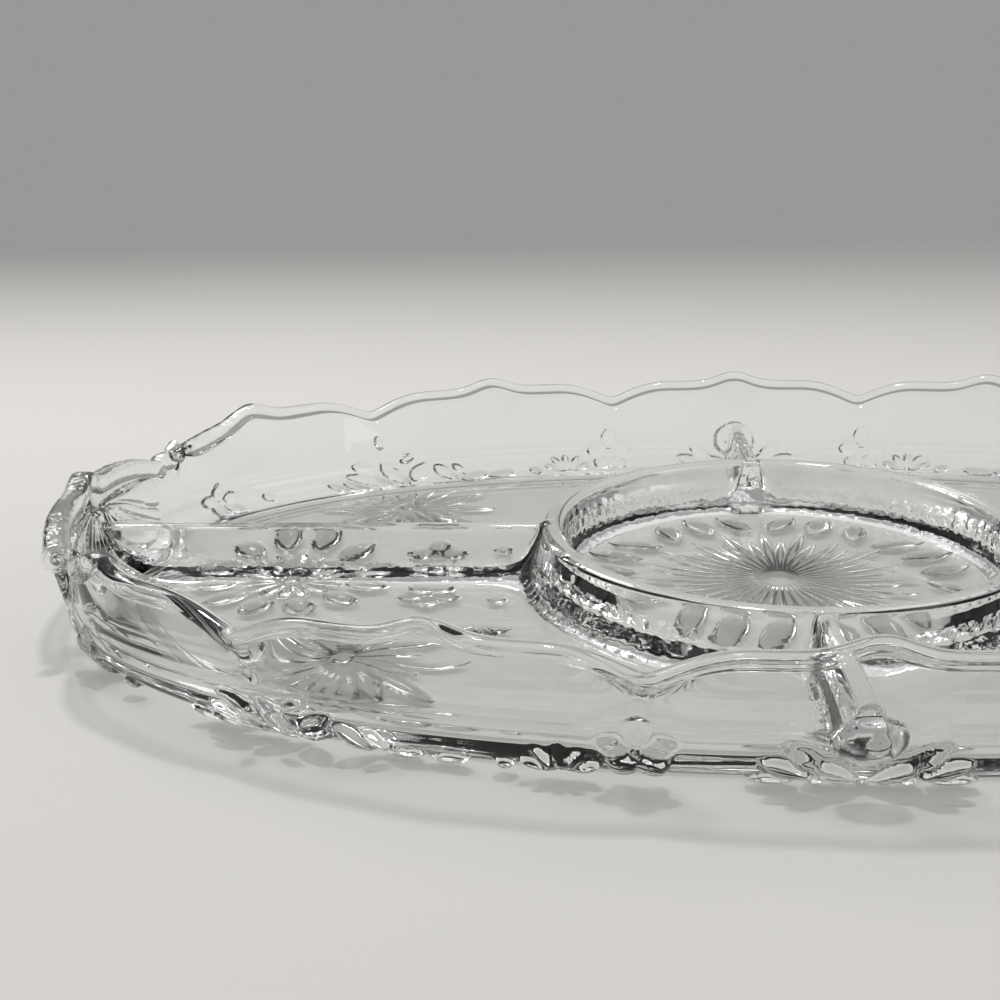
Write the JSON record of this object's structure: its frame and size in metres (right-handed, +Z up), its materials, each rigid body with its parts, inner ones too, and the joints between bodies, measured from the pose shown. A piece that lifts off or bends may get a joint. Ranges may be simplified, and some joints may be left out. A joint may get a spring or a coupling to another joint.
{
  "type": "divided relish tray",
  "caption": "Oval pressed-glass relish tray with a round centre well, divided compartments, a scalloped flared rim and scrolled end handles.",
  "frame": {"origin": "centre of the tray on the table, under the middle of the foot", "axes": "+X along the tray towards one handle, +Y across it, +Z up out of the compartments"},
  "size_m": [0.3356, 0.2046, 0.032],
  "materials": {
    "clear_glass": "clear fire-polished pressed glass",
    "relief_glass": "clear pressed glass with fine moulded facets"
  },
  "bodies": {
    "root": {"foot_rim": "clear_glass", "base_floor": "clear_glass", "well_floor": "clear_glass", "well_ring": "clear_glass", "left_divider": "clear_glass", "right_divider": "clear_glass", "front_divider": "clear_glass", "back_divider": "clear_glass", "front_wall": "clear_glass", "back_wall": "clear_glass", "left_end_wall": "clear_glass", "right_end_wall": "clear_glass", "front_rim": "clear_glass", "back_rim": "clear_glass", "left_handle_lip": "clear_glass", "right_handle_lip": "clear_glass", "left_scrolls": "clear_glass", "right_scrolls": "clear_glass", "left_fan": "clear_glass", "right_fan": "clear_glass", "well_star": "relief_glass", "left_daisy": "relief_glass", "right_daisy": "relief_glass", "front_left_spray": "relief_glass", "front_right_spray": "relief_glass", "back_left_spray": "relief_glass", "back_right_spray": "relief_glass", "front_shell": "relief_glass", "back_shell": "relief_glass", "small_blossoms": "relief_glass", "leaf_sprigs": "relief_glass"}
  },
  "joints": []
}
